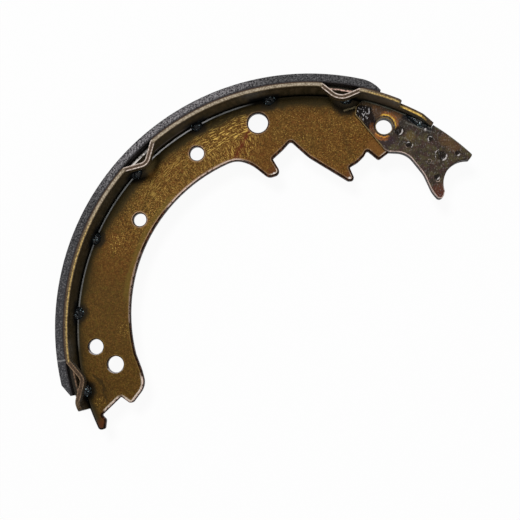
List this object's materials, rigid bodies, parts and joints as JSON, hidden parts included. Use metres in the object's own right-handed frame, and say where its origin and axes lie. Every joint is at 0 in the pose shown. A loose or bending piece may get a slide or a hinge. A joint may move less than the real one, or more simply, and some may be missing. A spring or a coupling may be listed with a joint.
{
  "type": "brake shoe",
  "caption": "Curved drum brake shoe: a flat stamped web with notches and holes, a rolled rim with edge nibs, a bonded friction lining and a reinforcement plate at the anchor end.",
  "frame": {"origin": "on the drum axis, in the middle plane of the web's sheet", "axes": "+Z along the drum axis towards the side with the reinforcement plate, +X and +Y as right and up in the picture; the anchor seat lies at 42 degrees from +X towards +Y and the shoe lies at rest on its -Z edge"},
  "size_m": [0.2329, 0.1987, 0.0508],
  "materials": {
    "web": "oiled phosphate, satin, olive brown",
    "anchor_plate": "oiled phosphate, satin, gunmetal brown",
    "rim": "oiled phosphate, dark olive with bare tan edges",
    "friction_lining": "rough pressed friction material, dark grey",
    "rim_welds": "dark scaled weld metal"
  },
  "bodies": {
    "root": {"web": "web", "anchor_plate": "anchor_plate", "rim": "rim", "friction_lining": "friction_lining", "rim_welds": "rim_welds"}
  },
  "joints": []
}
